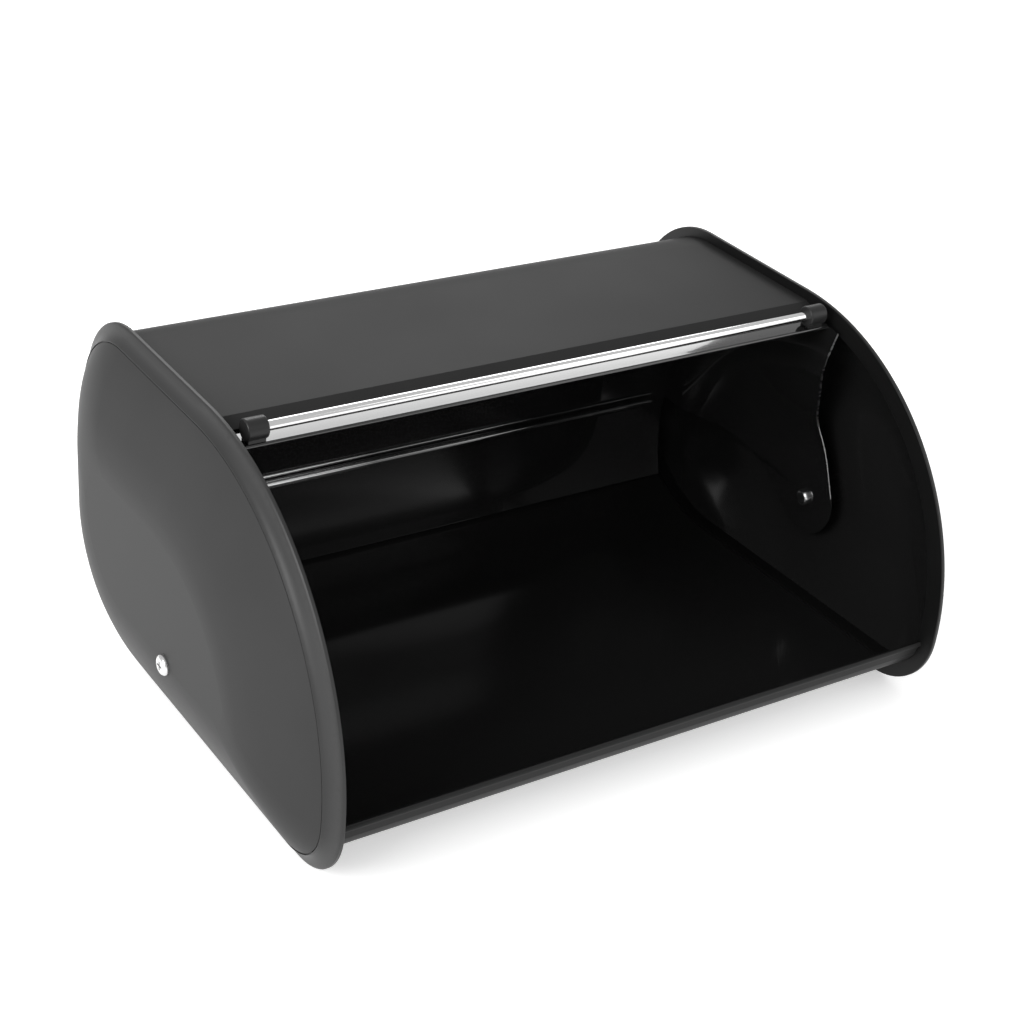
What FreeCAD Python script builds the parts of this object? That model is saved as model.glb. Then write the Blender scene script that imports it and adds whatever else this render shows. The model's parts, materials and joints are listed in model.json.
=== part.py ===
import FreeCAD, Part
import math
import os

import Sketcher
from FreeCAD import Placement, Rotation, Vector

# Roll-top bread box: a bent steel shell between two end rings with domed covers, and a
# curved lid with a handle bar that turns back inside the shell about two side pivots.
# X runs along the box, Y from the front opening to the back, Z up. The origin is the
# centre of the footprint, on the surface that the box stands on. The lid is drawn open.

# driving dimensions, millimetres and degrees
sizes = {
    "depthAll": 280.0,         # front to back over the end rings
    "frontRadius": 139.0,      # the big arc of the front
    "frontCentreZ": 46.5,
    "frontCornerRadius": 39.5,
    "topBackRadius": 57.0,
    "bottomBackRadius": 84.0,
    "evenInset": 14.0,         # moved in by more than this, the profile's corners stay softer
    "topSlope": 1.0,           # the top falls towards the front
    "ringInnerX": 175.0,       # the face of the end ring that the shell meets
    "ringWidth": 7.5,
    "ringBand": 10.6,          # from the ring's rim in to its opening
    "rimWidth": 1.8,           # the rim's flat, which is also the foot
    "rimRounding": 0.6,
    "seamInset": 9.0,          # where the dome's edge lies on the ring
    "seamWidth": 0.8,
    "seamDepth": 1.0,
    "sheetInset": 7.0,         # the ring stands about this far proud of the shell
    "sheetLift": 1.5,          # a little more at the bottom and less at the top
    "sheetThick": 0.8,
    "sheetIntoRing": 3.0,
    "slotFit": 0.1,
    "lipGap": 0.2,             # the shell's bent lips stop this far from the rings
    "hemStartZ": 26.0,         # where the front lip leaves the round of the bottom
    "hemAngle": 193.0,         # the front lip's bead, seen from the pivot
    "hemOrbit": 120.8,
    "hemBead": 1.5,
    "creaseY": 134.1,          # from the front of the ring to the bend of the top lip
    "topLipLength": 8.4,
    "topLipDrop": 21.5,
    "domeThick": 0.9,
    "pivotY": 127.0,           # from the front of the ring
    "pivotZ": 60.0,
    "lidRadius": 115.4,
    "lidThick": 1.0,
    "lidHalf": 171.5,
    "lidFrontAngle": 96.9,
    "lidRearAngle": -17.0,
    "lipBead": 1.1,
    "rearBead": 2.5,
    "rearRidge": 1.0,
    "rearBeadAngle": 8.6,
    "rearHemHalf": 159.5,
    "armThick": 1.0,
    "armSetOut": 18.5,         # the arm's lobe lies this far outside its rim
    "armRimRadius": 92.0,
    "armLobeStart": 36.0,
    "armBend": 60.0,
    "lobeRadius": 21.5,
    "barRadius": 2.5,
    "barOrbit": 121.3,
    "barAngle": 95.2,
    "barIntoBracket": 6.0,
    "bracketRadius": 5.4,
    "bracketInnerX": 158.3,
    "bracketLength": 10.8,
    "bracketFoot": 7.0,
    "bracketRounding": 0.9,
    "handleScrewX": 163.6,
    "handleScrewRadius": 1.2,
    "handleScrewReach": 3.0,
    "pinRadius": 2.0,
    "pinClearance": 0.05,
    "pinHeadX": 203.4,
    "pinHeadRadius": 5.2,
    "pinHeadHigh": 2.6,
    "pinTipX": 187.6,
    "nutRadius": 4.6,
    "nutHigh": 3.4,
    "washerRadius": 8.5,
    "washerThick": 1.0,
    "bushRadius": 7.0,
    "playX": 0.1,
}

doc = FreeCAD.newDocument("BreadBox")
table = doc.addObject("Spreadsheet::Sheet", "Dims")
for row, (alias, number) in enumerate(sizes.items(), start=1):
    table.set("A%d" % row, alias)
    table.set("B%d" % row, str(number))
    table.setAlias("B%d" % row, alias)
doc.recompute()
dim = {alias: float(table.get(alias)) for alias in sizes}

parts = []
sides = {"left": -1, "right": 1}
flat = Vector(0, 0, 1)
frontY = -dim["depthAll"] / 2


def bind(item, prop, formula):
    """Bind a property to a formula in which each alias is looked up in the sheet."""
    words = ["Dims." + word if word in sizes else word for word in formula.split()]
    item.setExpression(prop, " ".join(words))


def newBody(label, atPivot=False):
    """A sub-part. One that belongs to the pivots is drawn about the pivot and then placed."""
    body = doc.addObject("PartDesign::Body", label)
    body.Label = label
    if atPivot:
        body.Placement = Placement(Vector(0, frontY + dim["pivotY"], dim["pivotZ"]), Rotation())
        bind(body, "Placement.Base.y", "pivotY - depthAll / 2")
        bind(body, "Placement.Base.z", "pivotZ")
    parts.append(body)
    return body


def newSketch(body, name, offset="0", role="YZ_Plane"):
    """A sketch on one of the body's own planes, moved along that plane's normal."""
    sketch = body.newObject("Sketcher::SketchObject", body.Label + "_" + name)
    plane = [item for item in body.Origin.OriginFeatures if item.Role == role][0]
    sketch.AttachmentSupport = [(plane, "")]
    sketch.MapMode = "FlatFace"
    bind(sketch, "AttachmentOffset.Base.z", offset)
    return sketch


def grow(body, sketch, length, toLeft=False, both=False):
    feature = body.newObject("PartDesign::Pad", sketch.Name + "_pad")
    feature.Profile = sketch
    feature.Midplane = both
    feature.Reversed = toLeft
    bind(feature, "Length", length)
    doc.recompute()
    return feature


def cut(body, sketch, length, toLeft=False, both=False):
    """A pocket along X: the volume has to fall, or the pocket points away from the solid."""
    before = body.Shape.Volume
    feature = body.newObject("PartDesign::Pocket", sketch.Name + "_cut")
    feature.Profile = sketch
    feature.Midplane = both
    feature.Reversed = not toLeft
    bind(feature, "Length", length)
    doc.recompute()
    if body.Shape.Volume > before - 1e-6:
        raise RuntimeError(feature.Name + " removes nothing")
    return feature


def fillet(body, base, radius, wanted):
    names = ["Edge%d" % number for number, edge in enumerate(base.Shape.Edges, start=1) if wanted(edge)]
    feature = body.newObject("PartDesign::Fillet", base.Name + "_round")
    feature.Base = (base, names)
    bind(feature, "Radius", radius)
    doc.recompute()
    return feature


def polar(radius, degrees):
    """Seen from +X about the sketch's origin: 0 degrees is the back and 90 is up."""
    angle = math.radians(degrees)
    return Vector(radius * math.cos(angle), radius * math.sin(angle), 0)


def arc(centre, radius, start, end):
    """An arc of a sketch, its angles in radians, run from start to end."""
    circle = Part.Circle(centre, flat, radius)
    return Part.ArcOfCircle(circle, start, end)


def addCircle(sketch, centre, formula):
    index = sketch.addGeometry(Part.Circle(centre, flat, 1.0), False)
    number = sketch.addConstraint(Sketcher.Constraint("Radius", index, 1.0))
    bind(sketch, "Constraints[%d]" % number, formula)


def addPolygon(sketch, points):
    for start, end in zip(points, points[1:] + points[:1]):
        sketch.addGeometry(Part.LineSegment(start, end), False)


def addPath(sketch, points, pull):
    """Lines through the points, each inner corner rounded to its radius; pull is a shift."""
    last = points[0][0] + pull
    for (before, _), (corner, radius), (after, _) in zip(points, points[1:], points[2:]):
        inward = (before - corner).normalize()
        onward = (after - corner).normalize()
        half = inward.getAngle(onward) / 2
        reach = radius / math.tan(half)
        middle = (inward + onward).normalize() * (radius / math.sin(half) - radius)
        ends = [corner + inward * reach + pull, corner + middle + pull, corner + onward * reach + pull]
        sketch.addGeometry(Part.LineSegment(last, ends[0]), False)
        sketch.addGeometry(Part.Arc(*ends), False)
        last = ends[2]
    sketch.addGeometry(Part.LineSegment(last, points[-1][0] + pull), False)


def shrunk(radius, inset):
    """A corner's radius on the profile moved inwards; far in, it tends to zero but never gets there."""
    even = min(inset, dim["evenInset"])
    left = radius - even
    return left / (1 + (inset - even) / left)


def profileArcs(inset):
    """The four arcs of the end profile, moved inwards: centre, radius, start and end angle."""
    radius = dim["frontRadius"] - inset
    corner = shrunk(dim["frontCornerRadius"], inset)
    topBack = shrunk(dim["topBackRadius"], inset)
    bottomBack = shrunk(dim["bottomBackRadius"], inset)
    backY = frontY + dim["depthAll"] - inset
    front = Vector(frontY + dim["frontRadius"], dim["frontCentreZ"], 0)
    drop = front.y - inset - corner
    low = Vector(front.x - math.sqrt((radius - corner) ** 2 - drop ** 2), inset + corner, 0)
    slope = math.radians(dim["topSlope"])
    along = Vector(math.cos(slope), math.sin(slope), 0)
    upward = Vector(-math.sin(slope), math.cos(slope), 0)
    base = front + upward * (radius - topBack)
    high = base + along * ((backY - topBack - base.x) / along.x)
    rear = Vector(backY - bottomBack, inset + bottomBack, 0)
    turn = math.atan2(low.y - front.y, low.x - front.x) % (2 * math.pi)
    return [
        (low, corner, turn, 1.5 * math.pi),
        (rear, bottomBack, 1.5 * math.pi, 2 * math.pi),
        (high, topBack, 0.0, slope + math.pi / 2),
        (front, radius, slope + math.pi / 2, turn),
    ]


def joined(pieces):
    """The arcs with the straight runs between them."""
    run = [pieces[0]]
    for piece in pieces[1:]:
        run.append(Part.LineSegment(run[-1].EndPoint, piece.StartPoint))
        run.append(piece)
    return run


def addProfile(sketch, inset):
    run = joined([arc(*piece) for piece in profileArcs(inset)])
    sketch.addGeometry(run, False)


def addShellBand(sketch, inset, thick):
    """The shell's section: from the front lip round the bottom, back and top to the crease."""
    runs = []
    for depth in (inset, inset + thick):
        lift = Vector(0, dim["sheetLift"], 0)
        low, rear, high, front = [(piece[0] + lift,) + piece[1:] for piece in profileArcs(depth)]
        start = math.pi + math.asin((low[0].y - dim["hemStartZ"]) / low[1])
        crease = math.acos((frontY + dim["creaseY"] - front[0].x) / front[1])
        runs.append(joined([
            arc(low[0], low[1], start, low[3]),
            arc(*rear),
            arc(*high),
            arc(front[0], front[1], front[2], crease),
        ]))
    outer, inner = runs
    sketch.addGeometry(outer + inner, False)
    sketch.addGeometry(Part.LineSegment(outer[0].StartPoint, inner[0].StartPoint), False)
    sketch.addGeometry(Part.LineSegment(outer[-1].EndPoint, inner[-1].EndPoint), False)
    middle = []
    for name in ("StartPoint", "EndPoint"):
        edge = 0 if name == "StartPoint" else -1
        middle.append((getattr(outer[edge], name) + getattr(inner[edge], name)) * 0.5)
    return middle


def addStrip(sketch, start, end, thick):
    side = (end - start).normalize().cross(flat) * (thick / 2)
    addPolygon(sketch, [start + side, end + side, end - side, start - side])


# the shell: one bent sheet, with a bead along the front lip and a bent lip along the top
shell = newBody("body_shell")
sketch = newSketch(shell, "section")
hemStart, crease = addShellBand(sketch, dim["sheetInset"], dim["sheetThick"])
grow(shell, sketch, "( ringInnerX + sheetIntoRing ) * 2", both=True)
lipWidth = "( ringInnerX - lipGap ) * 2"
pivotPoint = Vector(frontY + dim["pivotY"], dim["pivotZ"], 0)
hemEnd = pivotPoint + polar(dim["hemOrbit"], dim["hemAngle"])
topLipEnd = crease + polar(dim["topLipLength"], 180 + dim["topLipDrop"])
for name, start, end in (("front", hemStart, hemEnd), ("top", crease, topLipEnd)):
    sketch = newSketch(shell, name + "_lip")
    addStrip(sketch, start, end, dim["sheetThick"])
    grow(shell, sketch, lipWidth, both=True)
for name, centre, radius in (
    ("front_bead", hemEnd, "hemBead"),
    ("front_bend", hemStart, "sheetThick / 2"),
    ("top_bend", crease, "sheetThick / 2"),
    ("top_edge", topLipEnd, "sheetThick / 2"),
):
    sketch = newSketch(shell, name)
    addCircle(sketch, centre, radius)
    grow(shell, sketch, lipWidth, both=True)

# the end rings: moulded, flared out to a rim that is also the foot, with a slot for the
# shell's edge; each flare section is a distance from the shell's side and an inset
flare = [(1.8, 0.0), (2.4, 0.5), (3.0, 1.8), (3.7, 3.7), (4.7, 5.6), (6.0, 7.2), (7.5, 8.2)]
for side, sign in sides.items():
    ring = newBody("end_ring_" + side)
    sketch = newSketch(ring, "rim", "ringInnerX * %d" % sign)
    addProfile(sketch, 0.0)
    body = grow(ring, sketch, "rimWidth", toLeft=sign < 0)
    innerX = sign * dim["ringInnerX"]
    fillet(ring, body, "rimRounding", lambda edge: abs(edge.BoundBox.XMin - innerX) < 0.01
           and abs(edge.BoundBox.XMax - innerX) < 0.01)
    sketches = []
    for number, (away, inset) in enumerate(flare):
        sketch = newSketch(ring, "flare_%d" % number, "( ringInnerX + %.2f ) * %d" % (away, sign))
        addProfile(sketch, inset)
        sketches.append(sketch)
    feature = ring.newObject("PartDesign::AdditiveLoft", "%s_flare" % ring.Label)
    feature.Profile = sketches[0]
    feature.Sections = sketches[1:]
    doc.recompute()
    sketch = newSketch(ring, "opening", "ringInnerX * %d" % sign)
    addProfile(sketch, dim["ringBand"])
    cut(ring, sketch, "ringWidth + 1", toLeft=sign < 0)
    sketch = newSketch(ring, "seam", "( ringInnerX + ringWidth - seamDepth ) * %d" % sign)
    addProfile(sketch, dim["seamInset"] - dim["seamWidth"] + 0.3)
    addProfile(sketch, dim["seamInset"])
    cut(ring, sketch, "seamDepth + 1", toLeft=sign < 0)
    sketch = newSketch(ring, "slot", "ringInnerX * %d" % sign)
    addShellBand(sketch, dim["sheetInset"] - dim["slotFit"], dim["sheetThick"] + 2 * dim["slotFit"])
    cut(ring, sketch, "sheetIntoRing + slotFit", toLeft=sign < 0)

# the end domes: drawn sheet; each section is the profile moved in, at a height over the seam
domeSections = [
    (9.0, 0.0), (10.5, 1.1), (14.0, 3.4), (20.0, 6.9), (28.0, 11.0), (36.0, 14.7),
    (43.0, 17.5), (48.0, 19.0), (52.0, 19.95), (55.5, 20.45), (58.5, 20.72), (61.0, 20.8),
]
for side, sign in sides.items():
    dome = newBody("end_dome_" + side)
    for kind, shift in (("Additive", 0.0), ("Subtractive", 1.0)):
        sketches = []
        for number, (inset, rise) in enumerate(domeSections):
            offset = "( ringInnerX + ringWidth + %.3f - %.1f * domeThick ) * %d" % (rise, shift, sign)
            sketch = newSketch(dome, "%s_%02d" % (kind, number), offset)
            addProfile(sketch, inset)
            sketches.append(sketch)
        feature = dome.newObject("PartDesign::%sLoft" % kind, "%s_%s" % (dome.Label, kind))
        feature.Profile = sketches[0]
        feature.Sections = sketches[1:]
        doc.recompute()
    sketch = newSketch(dome, "pin_hole", "ringInnerX * %d" % sign)
    addCircle(sketch, pivotPoint, "pinRadius + slotFit")
    cut(dome, sketch, "50", toLeft=sign < 0)

# the pivots, about their own axis: screw, bush, washer and cap nut
for side, sign in sides.items():
    screw = newBody("pivot_screw_" + side, atPivot=True)
    sketch = newSketch(screw, "head", "pinHeadX * %d" % sign)
    addCircle(sketch, Vector(), "pinHeadRadius")
    head = grow(screw, sketch, "pinHeadHigh", toLeft=sign < 0)
    topX = sign * (dim["pinHeadX"] + dim["pinHeadHigh"])
    fillet(screw, head, "pinHeadHigh * 0.8", lambda edge: abs(edge.BoundBox.XMin - topX) < 0.01
           and abs(edge.BoundBox.XMax - topX) < 0.01)
    sketch = newSketch(screw, "shank", "pinTipX * %d" % sign)
    addCircle(sketch, Vector(), "pinRadius")
    grow(screw, sketch, "pinHeadX - pinTipX + 0.5", toLeft=sign < 0)
    sketch = newSketch(screw, "recess", "( pinHeadX + pinHeadHigh - 1.3 ) * %d" % sign)
    arm, web = 2.4, 0.5
    addPolygon(sketch, [Vector(y, z, 0) for y, z in (
        (arm, -web), (arm, web), (web, web), (web, arm), (-web, arm), (-web, web),
        (-arm, web), (-arm, -web), (-web, -web), (-web, -arm), (web, -arm), (web, -web))])
    cut(screw, sketch, "2", toLeft=sign < 0)

    lobeX = dim["lidHalf"] + dim["armSetOut"]
    lobe = "( lidHalf + armSetOut"
    nut = newBody("pivot_nut_" + side, atPivot=True)
    sketch = newSketch(nut, "head", lobe + " - playX - nutHigh ) * %d" % sign)
    addCircle(sketch, Vector(), "nutRadius")
    head = grow(nut, sketch, "nutHigh", toLeft=sign < 0)
    innerX = sign * (lobeX - dim["playX"] - dim["nutHigh"])
    fillet(nut, head, "nutHigh * 0.6", lambda edge: abs(edge.BoundBox.XMin - innerX) < 0.01
           and abs(edge.BoundBox.XMax - innerX) < 0.01)
    sketch = newSketch(nut, "thread", "( pinTipX - 0.4 ) * %d" % sign)
    addCircle(sketch, Vector(), "pinRadius + 0.02")
    cut(nut, sketch, "5", toLeft=sign < 0)

    washer = newBody("pivot_washer_" + side, atPivot=True)
    sketch = newSketch(washer, "section", lobe + " + armThick + playX ) * %d" % sign)
    addCircle(sketch, Vector(), "washerRadius")
    addCircle(sketch, Vector(), "pinRadius + slotFit")
    grow(washer, sketch, "washerThick", toLeft=sign < 0)

    bush = newBody("pivot_bush_" + side, atPivot=True)
    sketch = newSketch(bush, "section", lobe + " + armThick + playX + washerThick ) * %d" % sign)
    addCircle(sketch, Vector(), "bushRadius")
    addCircle(sketch, Vector(), "pinRadius + slotFit")
    grow(bush, sketch, "pinHeadX - domeThick - 1.3 - lidHalf - armSetOut - armThick - playX - washerThick",
         toLeft=sign < 0)

# the lid's panel: a curved sheet about the pivots, beaded in front and hemmed behind
panel = newBody("lid_panel", atPivot=True)
lidInner = dim["lidRadius"] - dim["lidThick"]
start, end = math.radians(dim["lidRearAngle"]), math.radians(dim["lidFrontAngle"])
sketch = newSketch(panel, "section")
outerArc = arc(Vector(), dim["lidRadius"], start, end)
innerArc = arc(Vector(), lidInner, start, end)
sketch.addGeometry([
    outerArc, Part.LineSegment(outerArc.EndPoint, innerArc.EndPoint),
    innerArc, Part.LineSegment(innerArc.StartPoint, outerArc.StartPoint)], False)
grow(panel, sketch, "lidHalf * 2", both=True)
ridgeStep = math.degrees((dim["rearBead"] + dim["rearRidge"] + 1.5) / dim["lidRadius"])
beads = (
    ("front_bead", "lipBead", dim["lidFrontAngle"], "lidHalf * 2"),
    ("rear_edge", "lidThick / 2", dim["lidRearAngle"], "lidHalf * 2"),
    ("rear_bead", "rearBead", dim["rearBeadAngle"], "rearHemHalf * 2"),
    ("rear_ridge", "rearRidge", dim["rearBeadAngle"] + ridgeStep, "rearHemHalf * 2"),
)
for name, alias, degrees, width in beads:
    sketch = newSketch(panel, name)
    inward = {"rearRidge": 0.45 + dim["rearRidge"]}.get(alias, dim.get(alias, dim["lidThick"] / 2))
    addCircle(sketch, polar(dim["lidRadius"] - inward, degrees), alias)
    grow(panel, sketch, width, both=True)
before = panel.Shape.Volume
for side, sign in sides.items():
    hole = panel.newObject("PartDesign::SubtractiveCylinder", "screw_hole_" + side)
    plane = [item for item in panel.Origin.OriginFeatures if item.Role == "XY_Plane"][0]
    hole.AttachmentSupport = [(plane, "")]
    hole.MapMode = "FlatFace"
    bind(hole, "Radius", "handleScrewRadius + slotFit")
    hole.Height = 20
    hole.AttachmentOffset = Placement(
        Vector(sign * dim["handleScrewX"], *(polar(lidInner - 10, dim["barAngle"]))[:2]),
        Rotation(Vector(1, 0, 0), dim["barAngle"] - 90))
    doc.recompute()
if panel.Shape.Volume > before - 5:
    raise RuntimeError("the lid's screw holes remove nothing")

# the lid's arms: side plates that bow outwards to the pivots, cut to a quarter disc and lobe
waist = Vector(-3.45, 50.1, 0)
rearCorner = Vector(57.4, 17.0, 0)
lobeFront, lobeRear = 158.0, 308.0
rimFront = polar(dim["lidRadius"], 101.5)
rimRear = polar(dim["lidRadius"], 8.3)
for side, sign in sides.items():
    arm = newBody("lid_arm_" + side, atPivot=True)
    sketch = newSketch(arm, "bow", role="XZ_Plane")
    bow = [
        (Vector(sign * dim["lidHalf"], dim["lidRadius"] + 1, 0), 0),
        (Vector(sign * dim["lidHalf"], dim["armRimRadius"], 0), dim["armBend"]),
        (Vector(sign * (dim["lidHalf"] + dim["armSetOut"]), dim["armLobeStart"], 0), dim["armBend"]),
        (Vector(sign * (dim["lidHalf"] + dim["armSetOut"]), 0, 0), 0),
    ]
    shift = Vector(sign * dim["armThick"], 0, 0)
    addPath(sketch, bow, Vector())
    addPath(sketch, bow, shift)
    for point, _ in (bow[0], bow[-1]):
        sketch.addGeometry(Part.LineSegment(point, point + shift), False)
    spin = arm.newObject("PartDesign::Revolution", arm.Label + "_spin")
    spin.Profile = sketch
    spin.ReferenceAxis = (sketch, ["H_Axis"])
    spin.Angle = 360
    doc.recompute()
    sketch = newSketch(arm, "outline", "( lidHalf - 5 ) * %d" % sign)
    sketch.addGeometry(arc(Vector(), dim["lidRadius"], math.radians(8.3), math.radians(101.5)), False)
    addPath(sketch, [(rimFront, 0), (waist, 23.0), (polar(dim["lobeRadius"], lobeFront), 0)], Vector())
    sketch.addGeometry(arc(Vector(), dim["lobeRadius"], math.radians(lobeFront), math.radians(lobeRear)), False)
    addPath(sketch, [(polar(dim["lobeRadius"], lobeRear), 0), (rearCorner, 50.0), (rimRear, 0)], Vector())
    addCircle(sketch, Vector(), "lidRadius + 10")
    cut(arm, sketch, "armSetOut + 15", toLeft=sign < 0)
    sketch = newSketch(arm, "pin_hole", "lidHalf * %d" % sign)
    addCircle(sketch, Vector(), "pinRadius + pinClearance")
    cut(arm, sketch, "armSetOut + 10", toLeft=sign < 0)

# the handle: a bar held in two brackets, each screwed to the lid from inside
barCentre = polar(dim["barOrbit"], dim["barAngle"])
bar = newBody("handle_bar", atPivot=True)
sketch = newSketch(bar, "section")
addCircle(sketch, barCentre, "barRadius")
grow(bar, sketch, "( bracketInnerX + barIntoBracket ) * 2", both=True)
radial, across = polar(1, dim["barAngle"]), polar(1, dim["barAngle"] + 90)
for side, sign in sides.items():
    bracket = newBody("handle_bracket_" + side, atPivot=True)
    sketch = newSketch(bracket, "section", "bracketInnerX * %d" % sign)
    addCircle(sketch, barCentre, "bracketRadius")
    barrel = grow(bracket, sketch, "bracketLength", toLeft=sign < 0)
    fillet(bracket, barrel, "bracketRounding", lambda edge: edge.Curve.TypeId == "Part::GeomCircle")
    sketch = newSketch(bracket, "foot", "( bracketInnerX + 1 ) * %d" % sign)
    half = across * (dim["bracketFoot"] / 2)
    low, high = radial * (dim["lidRadius"] + 0.02), radial * dim["barOrbit"]
    addPolygon(sketch, [low - half, low + half, high + half, high - half])
    grow(bracket, sketch, "bracketLength - 2", toLeft=sign < 0)
    sketch = newSketch(bracket, "bar_socket", "( bracketInnerX - 1 ) * %d" % sign)
    addCircle(sketch, barCentre, "barRadius + 0.04")
    cut(bracket, sketch, "barIntoBracket + 1.2", toLeft=sign < 0)

    screw = newBody("handle_screw_" + side)
    headFace, headHigh = lidInner - 0.06, 1.6
    sketch = newSketch(screw, "section", role="XZ_Plane")
    addPolygon(sketch, [Vector(x, z, 0) for x, z in (
        (0, headFace - headHigh), (1.4, headFace - headHigh), (2.05, headFace - 0.6), (2.05, headFace),
        (dim["handleScrewRadius"], headFace),
        (dim["handleScrewRadius"], dim["lidRadius"] + dim["handleScrewReach"] - 0.6),
        (dim["handleScrewRadius"] - 0.6, dim["lidRadius"] + dim["handleScrewReach"]),
        (0, dim["lidRadius"] + dim["handleScrewReach"]))])
    spin = screw.newObject("PartDesign::Revolution", screw.Label + "_spin")
    spin.Profile = sketch
    spin.ReferenceAxis = (sketch, ["V_Axis"])
    spin.Angle = 360
    doc.recompute()
    screw.Placement = Placement(
        Vector(sign * dim["handleScrewX"], frontY + dim["pivotY"], dim["pivotZ"]),
        Rotation(Vector(1, 0, 0), dim["barAngle"] - 90))
    bind(screw, "Placement.Base.x", "handleScrewX * %d" % sign)
    bind(screw, "Placement.Base.y", "pivotY - depthAll / 2")
    bind(screw, "Placement.Base.z", "pivotZ")

    hole = bracket.newObject("PartDesign::SubtractiveCylinder", "thread_" + side)
    plane = [item for item in bracket.Origin.OriginFeatures if item.Role == "XY_Plane"][0]
    hole.AttachmentSupport = [(plane, "")]
    hole.MapMode = "FlatFace"
    bind(hole, "Radius", "handleScrewRadius + 0.02")
    hole.Height = dim["handleScrewReach"] + 10.1
    hole.AttachmentOffset = Placement(
        Vector(sign * dim["handleScrewX"], *(radial * (dim["lidRadius"] - 10))[:2]),
        Rotation(Vector(1, 0, 0), dim["barAngle"] - 90))

doc.recompute()
for item in doc.Objects:
    if "Invalid" in item.State or "Error" in item.State:
        raise RuntimeError("%s did not recompute" % item.Name)
os.makedirs("parts", exist_ok=True)
for body in parts:
    shape = body.Shape
    if shape.isNull() or not shape.isValid() or len(shape.Solids) != 1:
        raise RuntimeError("%s is not one valid solid (%d)" % (body.Label, len(shape.Solids)))
    shape.exportStep("parts/%s.step" % body.Label)
    box = shape.optimalBoundingBox(False, False)
    print("%-22s %9.0f mm3  x %7.1f %7.1f  y %7.1f %7.1f  z %6.1f %6.1f" % (
        body.Label, shape.Volume, box.XMin, box.XMax, box.YMin, box.YMax, box.ZMin, box.ZMax))
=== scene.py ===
import json
import math
import bpy
from mathutils import Matrix, Vector


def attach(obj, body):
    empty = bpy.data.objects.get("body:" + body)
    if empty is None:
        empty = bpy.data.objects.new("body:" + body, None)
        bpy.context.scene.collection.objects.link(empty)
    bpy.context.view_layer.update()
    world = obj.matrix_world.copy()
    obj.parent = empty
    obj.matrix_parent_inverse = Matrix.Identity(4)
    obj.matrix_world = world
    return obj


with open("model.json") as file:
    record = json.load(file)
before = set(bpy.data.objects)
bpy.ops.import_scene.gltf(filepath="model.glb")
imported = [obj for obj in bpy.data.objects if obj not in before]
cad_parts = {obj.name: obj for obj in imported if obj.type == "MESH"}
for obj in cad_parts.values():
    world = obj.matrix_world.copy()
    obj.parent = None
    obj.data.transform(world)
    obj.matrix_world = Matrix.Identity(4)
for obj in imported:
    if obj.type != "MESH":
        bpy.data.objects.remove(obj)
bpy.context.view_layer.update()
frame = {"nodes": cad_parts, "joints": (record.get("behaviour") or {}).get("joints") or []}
nodes = frame["nodes"]
pivot = Vector(frame["joints"][0]["pos_m"])
print("frame loaded")

# shader wiring


class Wire:  # a node's output that can be used in sums
    def __init__(self, tree, out):
        self.tree, self.out = tree, out

    def maths(self, kind, other=None, flipped=False):
        first, second = (other, self) if flipped else (self, other)
        return addNode(self.tree, "ShaderNodeMath", {"operation": kind}, {0: first, 1: second})

    def __add__(self, other):
        return self.maths("ADD", other)

    def __radd__(self, other):
        return self.maths("ADD", other, True)

    def __sub__(self, other):
        return self.maths("SUBTRACT", other)

    def __rsub__(self, other):
        return self.maths("SUBTRACT", other, True)

    def __mul__(self, other):
        return self.maths("MULTIPLY", other)


def addNode(tree, kind, settings=None, sockets=None, out=0):
    node = tree.nodes.new(kind)
    for name, value in (settings or {}).items():
        setattr(node, name, value)
    for key, value in (sockets or {}).items():
        if isinstance(value, Wire):
            tree.links.new(value.out, node.inputs[key])
        elif value is not None:
            node.inputs[key].default_value = value
    return Wire(tree, node.outputs[out])


def newMaterial(name, **uniform):
    material = bpy.data.materials.new(name)
    material.use_nodes = True
    tree = material.node_tree
    shader = tree.nodes["Principled BSDF"]
    for key, value in uniform.items():
        shader.inputs[key.replace("_", " ")].default_value = value
    return material, tree, shader


def feed(tree, shader, **wires):
    for key, wire in wires.items():
        tree.links.new(wire.out, shader.inputs[key.replace("_", " ")])


def place(tree, out="Object"):  # a point of the piece, in metres
    return addNode(tree, "ShaderNodeTexCoord", out=out)


def noise(tree, where, scale, detail=2.0, rough=0.5):
    return addNode(tree, "ShaderNodeTexNoise", None,
                   {"Vector": where, "Scale": scale, "Detail": detail, "Roughness": rough})


def spread(tree, value, low, high):  # 0..1 stretched over a range
    return addNode(tree, "ShaderNodeMapRange", None,
                   {0: value, 1: 0.3, 2: 0.7, 3: low, 4: high})


def mixColours(tree, mask, first, second):
    return addNode(tree, "ShaderNodeMix", {"data_type": "RGBA"},
                   {0: mask, 6: first, 7: second}, out=2)


def grey(level):
    return (level, level, level, 1)


def bump(tree, height, strength, distance):
    return addNode(tree, "ShaderNodeBump", None,
                   {"Height": height, "Strength": strength, "Distance": distance})


def outwardMask(tree, wayOut):  # 1 on the outside of a thin sheet, 0 on its inside
    turned = addNode(tree, "ShaderNodeVectorMath", {"operation": "DOT_PRODUCT"},
                     {0: place(tree, "Normal"), 1: wayOut}, out=1)
    return turned.maths("GREATER_THAN", 0.0)


paint = {
    "outsideRough": 0.42, "shellTone": 0.024, "domeTone": 0.046,
    "inside": 0.010, "insideRough": 0.24, "insideCoat": 0.6,
    "cloudScale": 14.0, "peelScale": 900.0, "peelHeight": 0.00002,
}


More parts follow.
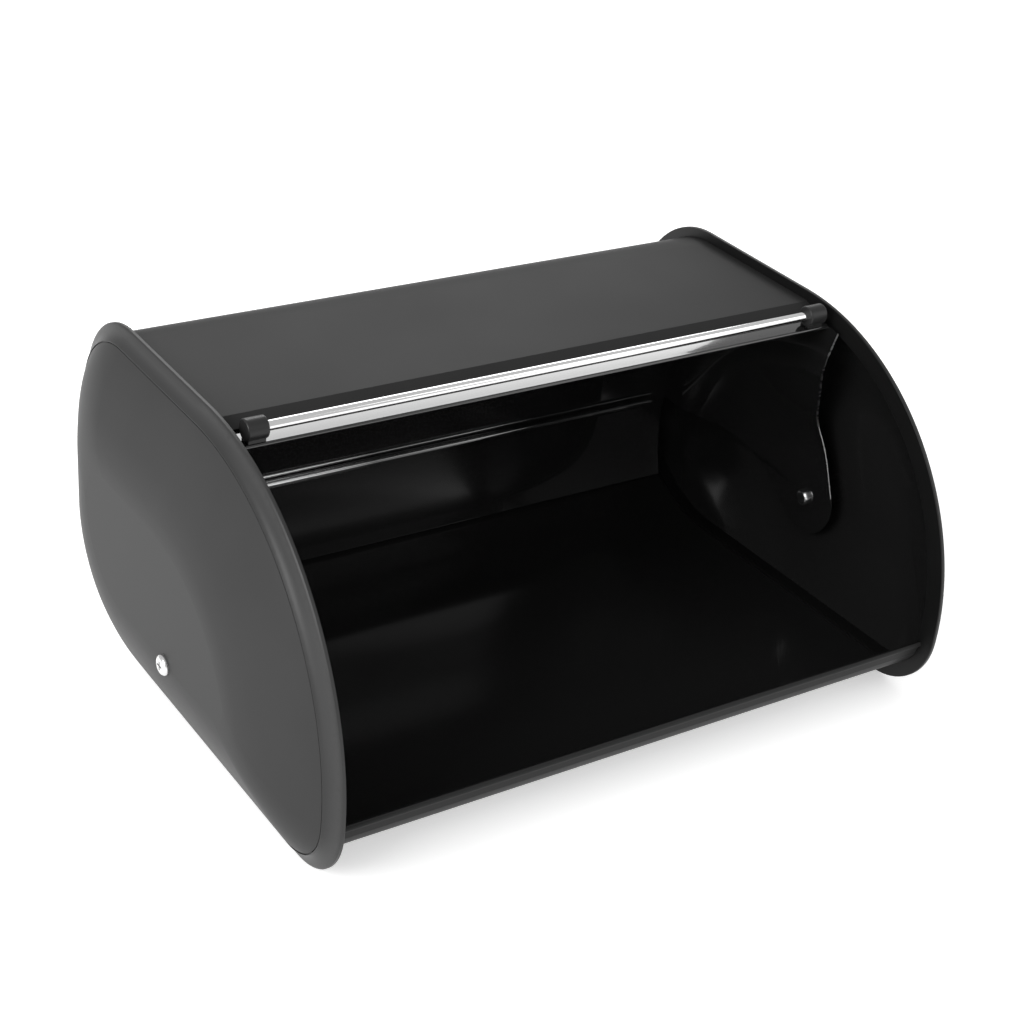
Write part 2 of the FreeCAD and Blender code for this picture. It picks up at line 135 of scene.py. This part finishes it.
def sheetPaint(name, wayOutOf, outsideTone):  # powder coat outside, gloss enamel inside
    material, tree, shader = newMaterial(name, IOR=1.5, Specular_IOR_Level=0.05)
    where = place(tree)
    mask = outwardMask(tree, wayOutOf(tree, where))
    cloud = noise(tree, where, paint["cloudScale"], 3.0)
    grain = noise(tree, where, paint["peelScale"], 2.0)
    outside = mixColours(tree, spread(tree, cloud, 0.0, 1.0), grey(outsideTone * 0.94),
                         grey(outsideTone * 1.06))
    feed(tree, shader,
         Base_Color=mixColours(tree, mask, grey(paint["inside"]), outside),
         Roughness=mask * (paint["outsideRough"] - paint["insideRough"])
         + spread(tree, cloud, paint["insideRough"] - 0.02, paint["insideRough"] + 0.03),
         Coat_Weight=paint["insideCoat"] - mask * paint["insideCoat"],
         Normal=bump(tree, grain * (0.25 + mask * 0.75), 0.35, paint["peelHeight"]))
    shader.inputs["Coat Roughness"].default_value = 0.16
    return material


def awayFromMiddle(tree, where):  # out of the shell's hollow, square to the box's length
    return addNode(tree, "ShaderNodeVectorMath", {"operation": "MULTIPLY_ADD"},
                   {0: where, 1: (0.0, 1.0, 1.0), 2: (0.0, 0.0, -0.095)})


def awayAlong(tree, where):  # out of the end domes, along the box's length
    return addNode(tree, "ShaderNodeVectorMath", {"operation": "MULTIPLY"},
                   {0: where, 1: (1.0, 0.0, 0.0)})


hemHighlight = {  # painted highlight on the bead and ridge low on the lid's inside: bright metal that fades along the box's length; the bands are angles round the pivots
    "bead": (0.127, 0.1735), "ridge": (0.184, 0.2035), "inside": 0.114,
    "fadeFrom": -0.09, "fadeTo": -0.03, "dim": 0.12, "tone": 0.85, "bare": 0.95,
}


def hemHighlightMask(tree, where):
    split = tree.nodes.new("ShaderNodeSeparateXYZ")
    tree.links.new(where.out, split.inputs[0])
    along, deep, high = (Wire(tree, split.outputs[number]) for number in range(3))
    deep, high = deep - pivot.y, high - pivot.z
    turned = high.maths("ARCTAN2", deep)

    def between(low, top):
        return turned.maths("GREATER_THAN", low) * turned.maths("LESS_THAN", top)

    inside = (deep * deep + high * high).maths("LESS_THAN", hemHighlight["inside"] ** 2)
    # the painted highlight fades along the box's length
    highlightFade = addNode(tree, "ShaderNodeMapRange", None,
                   {0: along, 1: hemHighlight["fadeFrom"], 2: hemHighlight["fadeTo"], 3: 1.0, 4: hemHighlight["dim"]})
    return (between(*hemHighlight["bead"]) + between(*hemHighlight["ridge"])) * inside, highlightFade


enamel = {"cloudScale": 10.0, "tones": (0.007, 0.010), "rough": (0.07, 0.13)}


def glossPaint():
    material, tree, shader = newMaterial("lidEnamel", IOR=1.5, Coat_Roughness=0.03)
    where = place(tree)
    bare, highlightFade = hemHighlightMask(tree, where)
    cloud = noise(tree, where, enamel["cloudScale"], 3.0)
    grain = noise(tree, where, paint["peelScale"], 2.0)
    # the bead and ridge get a painted highlight: bright metal in place of the enamel, fading along the box's
    # length
    feed(tree, shader,
         Base_Color=mixColours(tree, bare * highlightFade, mixColours(
             tree, spread(tree, cloud, 0.0, 1.0), *map(grey, enamel["tones"])), grey(hemHighlight["tone"])),
         Metallic=bare * hemHighlight["bare"],
         Roughness=spread(tree, cloud, *enamel["rough"]),
         Normal=bump(tree, grain, 0.2, paint["peelHeight"]))
    shader.inputs["Coat Weight"].default_value = 0.7
    return material


plastic = {"cloudScale": 18.0, "grainScale": 1500.0, "middle": (0.0, 0.0, -0.038), "sideways": (1.0, 0.4, 0.4)}


def mouldedPlastic(name, level, rough, hollowShadeShare=1.0):  # the last argument is the share of the tone left towards the hollow, as painted shade
    material, tree, shader = newMaterial(name, IOR=1.48, Specular_IOR_Level=0.3)
    where = place(tree)
    cloud = noise(tree, where, plastic["cloudScale"], 3.0)
    grain = noise(tree, where, plastic["grainScale"], 2.0)
    tone = mixColours(tree, spread(tree, cloud, 0.0, 1.0), grey(level * 0.92), grey(level * 1.08))
    # painted shade: faces turned towards the hollow are darkened
    if hollowShadeShare < 1:
        wayOut = addNode(tree, "ShaderNodeVectorMath", {"operation": "MULTIPLY_ADD"},
                         {0: where, 1: plastic["sideways"], 2: plastic["middle"]})
        tone = mixColours(tree, outwardMask(tree, wayOut), grey(level * hollowShadeShare), tone)
    feed(tree, shader,
         Base_Color=tone,
         Roughness=spread(tree, cloud, rough - 0.03, rough + 0.05),
         Normal=bump(tree, grain, 0.4, 0.00002))
    return material


def metal(name, level, rough, lines):  # bright metal; lines sets how fine its streaks are each way
    material, tree, shader = newMaterial(name, Metallic=1.0)
    where = place(tree)
    stretched = addNode(tree, "ShaderNodeMapping", None, {"Vector": where, "Scale": lines})
    streak = noise(tree, stretched, 1.0, 3.0)
    smudge = noise(tree, where, 30.0, 3.0)
    feed(tree, shader,
         Base_Color=mixColours(tree, spread(tree, smudge, 0.0, 1.0), grey(level * 0.96), grey(level)),
         Roughness=spread(tree, streak, rough, rough + 0.06) + spread(tree, smudge, 0.0, 0.03),
         Normal=bump(tree, streak, 0.15, 0.00001))
    return material


materials = {
    "shell": sheetPaint("shellPaint", awayFromMiddle, paint["shellTone"]),
    "dome": sheetPaint("domePaint", awayAlong, paint["domeTone"]),
    # the ring's faces towards the hollow get painted shade
    "ring": mouldedPlastic("ringPlastic", 0.03, 0.42, 0.15),
    "lid": glossPaint(),
    "bar": metal("barChrome", 0.86, 0.05, (40.0, 1500.0, 1500.0)),
    "bracket": mouldedPlastic("bracketPlastic", 0.02, 0.34),
    "screw": metal("screwSteel", 0.8, 0.2, (200.0, 900.0, 900.0)),
    # bright metal on the arms' edge tubes is a painted highlight
    "edge": metal("rubbedEdge", 0.42, 0.22, (300.0, 300.0, 300.0)),
}
finishes = {
    "body_shell": "shell", "end_ring": "ring", "end_dome": "dome", "pivot_screw": "screw",
    "pivot_nut": "screw", "pivot_washer": "bracket", "pivot_bush": "bracket", "lid_panel": "lid",
    "lid_arm": "lid", "handle_bar": "bar", "handle_bracket": "bracket", "handle_screw": "screw",
}
for name, node in nodes.items():
    stem = name.replace("_left", "").replace("_right", "")
    node.data.materials.clear()
    node.data.materials.append(materials[finishes[stem]])
print("finishes given")

# bright edges of the lid's sheets: rounded tubes whose bright metal is a painted highlight
edge = {
    "radius": 0.00052, "step": 0.0015, "waistRadius": 0.023, "corner": 16, "sides": 10,
    "rim": (-0.02301, 0.11308), "waist": (-0.00345, 0.0501), "lobe": (-0.01993, 0.00805),  # from the pivot
    "halfLength": 0.172, "bowFrom": 0.10165, "bowTo": 0.02635,
    "bend": 0.060, "bendReach": 0.01881, "lean": 0.33036,
}


def socketKey(tree, name):
    return [item.identifier for item in tree.interface.items_tree if item.name == name][0]


def bowOut(away):  # how far the arm stands outside its rim, at a distance from the pivot
    def clamped(value):
        return value.maths("MAXIMUM", 0.0).maths("MINIMUM", edge["bendReach"])

    def bent(value):
        return edge["bend"] - (edge["bend"] ** 2 - value * value).maths("SQRT")

    straight = edge["bowFrom"] - edge["bowTo"] - 2 * edge["bendReach"]
    run = edge["bowFrom"] - edge["bendReach"] - away
    run = run.maths("MAXIMUM", 0.0).maths("MINIMUM", straight)
    full = edge["bend"] - math.sqrt(edge["bend"] ** 2 - edge["bendReach"] ** 2)
    outer, hollowShadeShare = clamped(edge["bowFrom"] - away), clamped(away - edge["bowTo"])
    return bent(outer) + run * edge["lean"] + full - bent(hollowShadeShare)


def edgeTree(material):
    tree = bpy.data.node_groups.new("sheetEdge", "GeometryNodeTree")
    tree.interface.new_socket("Geometry", in_out="INPUT", socket_type="NodeSocketGeometry")
    for name in ("Radius", "Step", "Waist", "Side"):
        tree.interface.new_socket(name, in_out="INPUT", socket_type="NodeSocketFloat")
    tree.interface.new_socket("Geometry", in_out="OUTPUT", socket_type="NodeSocketGeometry")
    start = tree.nodes.new("NodeGroupInput")
    path, radius, step, waist, side = (Wire(tree, start.outputs[number]) for number in range(5))
    path = addNode(tree, "GeometryNodeFilletCurve", {"mode": "POLY"},
                   {"Curve": path, "Count": edge["corner"], "Radius": waist})
    path = addNode(tree, "GeometryNodeResampleCurve", {"mode": "LENGTH"},
                   {"Curve": path, "Length": step})
    here = addNode(tree, "GeometryNodeInputPosition")
    split = tree.nodes.new("ShaderNodeSeparateXYZ")
    tree.links.new(here.out, split.inputs[0])
    along, upward = Wire(tree, split.outputs["Y"]), Wire(tree, split.outputs["Z"])
    away = (along * along + upward * upward).maths("SQRT")
    sideways = side * (edge["halfLength"] + bowOut(away))
    moved = addNode(tree, "ShaderNodeCombineXYZ", None,
                    {0: sideways, 1: along + pivot.y, 2: upward + pivot.z})
    path = addNode(tree, "GeometryNodeSetPosition", None, {"Geometry": path, "Position": moved})
    ring = addNode(tree, "GeometryNodeCurvePrimitiveCircle", {"mode": "RADIUS"},
                   {"Resolution": edge["sides"], "Radius": radius})
    tube = addNode(tree, "GeometryNodeCurveToMesh", None,
                   {"Curve": path, "Profile Curve": ring, "Fill Caps": True})
    tube = addNode(tree, "GeometryNodeRealizeInstances", None, {"Geometry": tube})
    tube = addNode(tree, "GeometryNodeSetMaterial", None,
                   {"Geometry": tube, "Material": material})
    end = tree.nodes.new("NodeGroupOutput")
    tree.links.new(tube.out, end.inputs[0])
    return tree


edges = edgeTree(materials["edge"])
for name, side in (("left", -1.0), ("right", 1.0)):
    line = bpy.data.curves.new("arm_edge_path_" + name, "CURVE")
    line.dimensions = "3D"
    spline = line.splines.new("POLY")
    spline.points.add(2)
    for point, (y, z) in zip(spline.points, (edge["rim"], edge["waist"], edge["lobe"])):
        point.co = (0.0, y, z, 1.0)
    maker = bpy.data.objects.new("arm_edge_path_" + name, line)
    bpy.context.scene.collection.objects.link(maker)
    modifier = maker.modifiers.new("sheetEdge", "NODES")
    modifier.node_group = edges
    inputs = {"Radius": edge["radius"], "Step": edge["step"], "Waist": edge["waistRadius"], "Side": side}
    for key, value in inputs.items():
        modifier[socketKey(edges, key)] = value
    bpy.context.view_layer.update()
    mesh = bpy.data.meshes.new_from_object(maker.evaluated_get(bpy.context.evaluated_depsgraph_get()))
    maker.modifiers.remove(modifier)
    bpy.data.objects.remove(maker)
    piece = bpy.data.objects.new("arm_edge_" + name, mesh)
    bpy.context.scene.collection.objects.link(piece)
    for face in mesh.polygons:
        face.use_smooth = True
    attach(piece, "lid")
print("edges made")

# floor, light and camera
stage = {"floor": 6.0, "floorTone": 0.9, "floorGlow": 0.5, "world": 0.6}
floorMesh = bpy.data.meshes.new("floor")
reach = stage["floor"]
corners = [(-reach, -reach, 0), (reach, -reach, 0), (reach, reach, 0), (-reach, reach, 0)]
floorMesh.from_pydata(corners, [], [(0, 1, 2, 3)])
floor = bpy.data.objects.new("floor", floorMesh)
bpy.context.scene.collection.objects.link(floor)
floorMaterial, floorTree, floorShader = newMaterial(
    "floorPaper", Roughness=0.9, Emission_Color=(1, 1, 1, 1), Emission_Strength=stage["floorGlow"])
paperCloud = noise(floorTree, place(floorTree), 3.0)
feed(floorTree, floorShader, Base_Color=mixColours(
    floorTree, paperCloud, grey(stage["floorTone"] * 0.99), grey(stage["floorTone"])))
floorMesh.materials.append(floorMaterial)

bpy.context.scene.view_settings.view_transform = "Standard"
world = bpy.data.worlds.new("studio")
bpy.context.scene.world = world
world.use_nodes = True
world.node_tree.nodes["Background"].inputs["Color"].default_value = (1, 1, 1, 1)
world.node_tree.nodes["Background"].inputs["Strength"].default_value = stage["world"]


def aimed(thing, position, target):
    way = (target - position).normalized()
    turned = way.to_track_quat("-Z", "Y").to_matrix().to_4x4()
    thing.matrix_world = Matrix.Translation(position) @ turned


softboxes = {
    "key": ((-1.7, -0.4, 0.9), (0.0, 0.0, 0.1), (1.2, 1.0), 25.0),
    "fill": ((1.5, -1.6, 1.0), (0.0, 0.0, 0.1), (1.0, 1.4), 6.0),
    "back": ((0.62, 1.5, 1.2), (0.0, 0.0, 0.15), (1.45, 0.8), 13.0),
}
for name, (position, target, (wide, high), power) in softboxes.items():
    light = bpy.data.lights.new(name, "AREA")
    light.shape, light.size, light.size_y, light.energy = "RECTANGLE", wide, high, power
    lamp = bpy.data.objects.new(name, light)
    bpy.context.scene.collection.objects.link(lamp)
    aimed(lamp, Vector(position), Vector(target))

eye = {"place": (-0.5253, -0.7430, 0.5828), "yaw": 35.11, "down": 28.56, "roll": 4.87, "lens": 70.2}
yaw, down, roll = (math.radians(eye[key]) for key in ("yaw", "down", "roll"))
ahead = Vector((math.sin(yaw) * math.cos(down), math.cos(yaw) * math.cos(down), -math.sin(down)))
level = Vector((math.cos(yaw), -math.sin(yaw), 0.0))
upright = level.cross(ahead)
across = level * math.cos(roll) + upright * math.sin(roll)
above = upright * math.cos(roll) - level * math.sin(roll)
cameraData = bpy.data.cameras.new("camera")
cameraData.lens, cameraData.sensor_width = eye["lens"], 36.0
camera = bpy.data.objects.new("camera", cameraData)
bpy.context.scene.collection.objects.link(camera)
turn = Matrix((across, above, -ahead)).transposed()
camera.matrix_world = Matrix.Translation(Vector(eye["place"])) @ turn.to_4x4()
bpy.context.scene.camera = camera
print("stage set")
